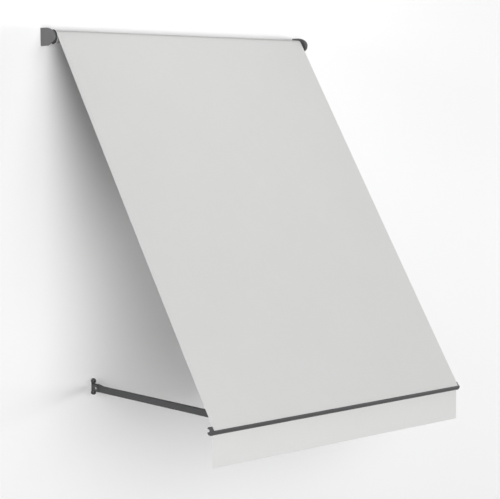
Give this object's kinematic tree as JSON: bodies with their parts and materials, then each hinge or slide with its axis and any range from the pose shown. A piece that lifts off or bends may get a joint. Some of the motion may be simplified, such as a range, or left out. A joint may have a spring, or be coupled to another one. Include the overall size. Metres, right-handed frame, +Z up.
{
  "type": "fabric awning",
  "caption": "Window awning: a roller between wall brackets, a flat fabric cover, pivoting arms and a round front bar with a hanging valance.",
  "frame": {"origin": "on the wall plane, at mid width, at the height of the roller's axis", "axes": "+X along the roller to the right seen from the street, +Y into the wall, so the front faces -Y, +Z up"},
  "size_m": [1.864, 1.3885, 2.16],
  "materials": {
    "grey_coat": "satin powder coat",
    "bracket_coat": "satin powder coat",
    "cloth": "matt woven awning cloth",
    "zinc": "zinc plated",
    "mill_aluminium": "mill finish",
    "dark_plastic": "moulded",
    "keder": "smooth"
  },
  "bodies": {
    "root": {"left_bracket": "bracket_coat", "right_bracket": "bracket_coat", "tube_motor": "zinc", "motor_head": "dark_plastic", "idler_bush": "dark_plastic", "left_hinge_bracket": "grey_coat", "right_hinge_bracket": "grey_coat", "left_hinge_pin": "zinc", "right_hinge_pin": "zinc", "cloth_panel": "cloth"},
    "roller": {"roller_tube": "mill_aluminium", "roller_keder": "keder", "cloth_roll": "cloth", "limit_crown": "dark_plastic", "drive_crown": "dark_plastic", "idler_cap": "dark_plastic"},
    "left_arm": {"left_arm_knuckle": "grey_coat", "left_arm_tube": "grey_coat", "left_arm_fork": "grey_coat", "left_front_pin": "zinc", "left_arm_screw_1": "zinc", "left_arm_screw_2": "zinc", "left_arm_screw_3": "zinc"},
    "right_arm": {"right_arm_knuckle": "grey_coat", "right_arm_tube": "grey_coat", "right_arm_fork": "grey_coat", "right_front_pin": "zinc", "right_arm_screw_1": "zinc", "right_arm_screw_2": "zinc", "right_arm_screw_3": "zinc"},
    "front_bar": {"front_bar": "grey_coat", "bar_keder": "keder", "valance_keder": "keder", "valance": "cloth", "left_slide_block": "mill_aluminium", "right_slide_block": "mill_aluminium", "left_clamp_screw_1": "zinc", "left_clamp_screw_2": "zinc", "right_clamp_screw_1": "zinc", "right_clamp_screw_2": "zinc", "left_end_cap": "grey_coat", "right_end_cap": "grey_coat"}
  },
  "joints": [
    {"name": "left_arm_swing", "type": "hinge", "parent": "root", "child": "left_arm", "pos_m": [-0.6073, -0.045, -1.935], "axis": [-1, 0, 0], "range_deg": [0, 90], "deforming": ["cloth_panel"]},
    {"name": "right_arm_swing", "type": "hinge", "parent": "root", "child": "right_arm", "pos_m": [0.6073, -0.045, -1.935], "axis": [-1, 0, 0], "range_deg": [0, 90]},
    {"name": "front_bar_tilt", "type": "hinge", "parent": "left_arm", "child": "front_bar", "pos_m": [-0.6073, -1.3137, -1.935], "axis": [-1, 0, 0], "range_deg": [-90, 0]},
    {"name": "roller_spin", "type": "hinge", "parent": "root", "child": "roller", "pos_m": [0, -0.076, 0], "axis": [-1, 0, 0], "range_deg": [0, 2520]}
  ],
  "couplings": [
    {"joint": "right_arm_swing", "follows": "left_arm_swing", "ratio": 1},
    {"joint": "front_bar_tilt", "follows": "left_arm_swing", "ratio": -1},
    {"joint": "roller_spin", "follows": "left_arm_swing", "ratio": 28}
  ]
}
